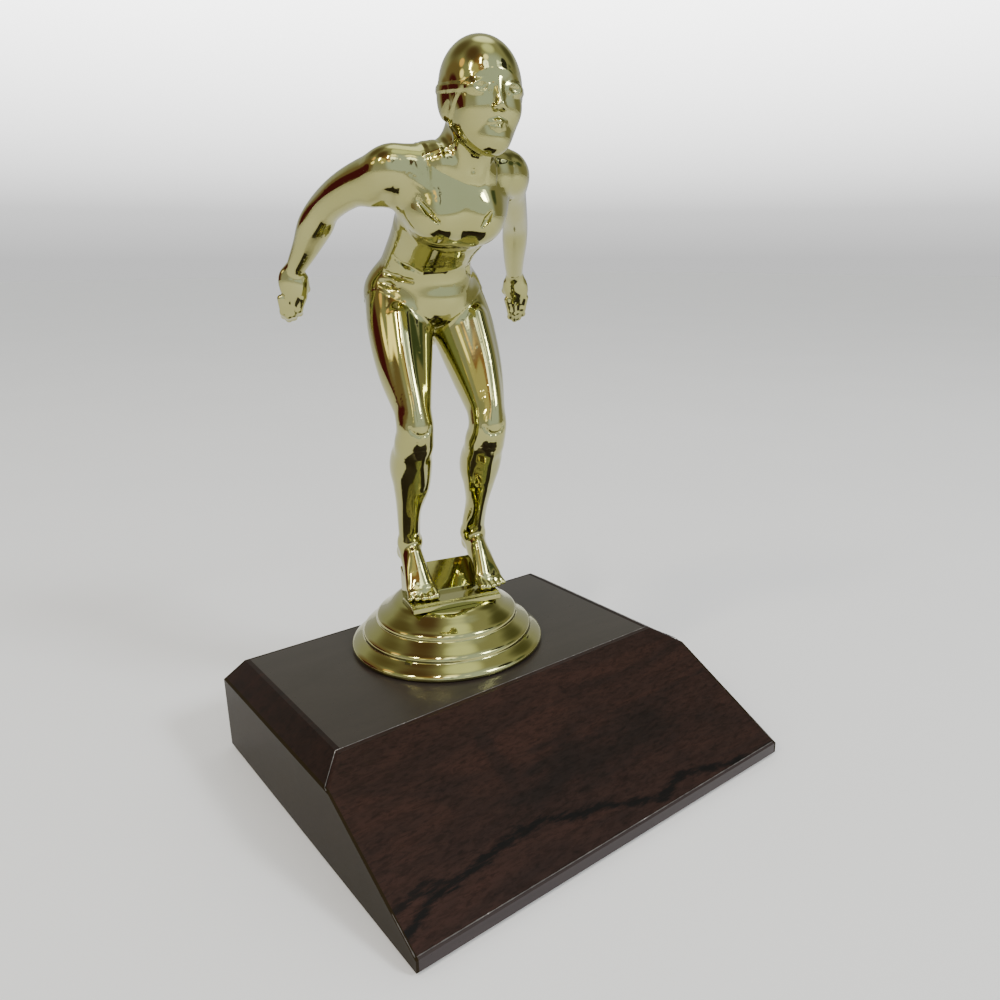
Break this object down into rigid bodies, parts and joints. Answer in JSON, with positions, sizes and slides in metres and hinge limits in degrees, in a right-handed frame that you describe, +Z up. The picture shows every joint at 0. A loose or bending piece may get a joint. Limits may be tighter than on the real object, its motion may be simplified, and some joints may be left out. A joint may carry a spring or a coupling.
{
  "type": "figure trophy",
  "caption": "Metallised plastic swimmer on a starting block and stepped round pedestal, bolted to a slant-front rosewood-laminate base with bevelled ends.",
  "frame": {"origin": "centre of the base's underside, at the felt", "axes": "+Z up through the base and figure, -Y to the slanted front, +X to the right of a viewer facing the front"},
  "size_m": [0.108, 0.1022, 0.1683],
  "materials": {
    "metallised_plastic": "vacuum-metallised pale gold, mirror gloss under clear lacquer",
    "rosewood_laminate": "dark rosewood-figured laminate, satin lacquer",
    "satin_laminate": "plain dark brown laminate, satin",
    "board": "raw fibreboard",
    "felt": "dark green felt",
    "zinc_steel": "bright zinc plate",
    "brass": "turned brass"
  },
  "bodies": {
    "base": {"base_core": "board", "top_laminate": "satin_laminate", "front_slant_laminate": "rosewood_laminate", "front_lip_band": "rosewood_laminate", "rear_laminate": "satin_laminate", "left_side_laminate": "satin_laminate", "right_side_laminate": "satin_laminate", "left_bevel_laminate": "rosewood_laminate", "right_bevel_laminate": "rosewood_laminate", "felt_pad": "felt"},
    "figure": {"pedestal": "metallised_plastic", "threaded_insert": "brass", "mounting_bolt": "zinc_steel", "lock_washer": "zinc_steel", "flat_washer": "zinc_steel", "starting_block": "metallised_plastic", "swimmer_front_shell": "metallised_plastic", "swimmer_back_shell": "metallised_plastic"}
  },
  "joints": [
    {"name": "figure_turn", "type": "hinge", "parent": "base", "child": "figure", "pos_m": [0.0005, 0.0246, 0.0234], "axis": [0, 0, 1], "continuous": true}
  ]
}
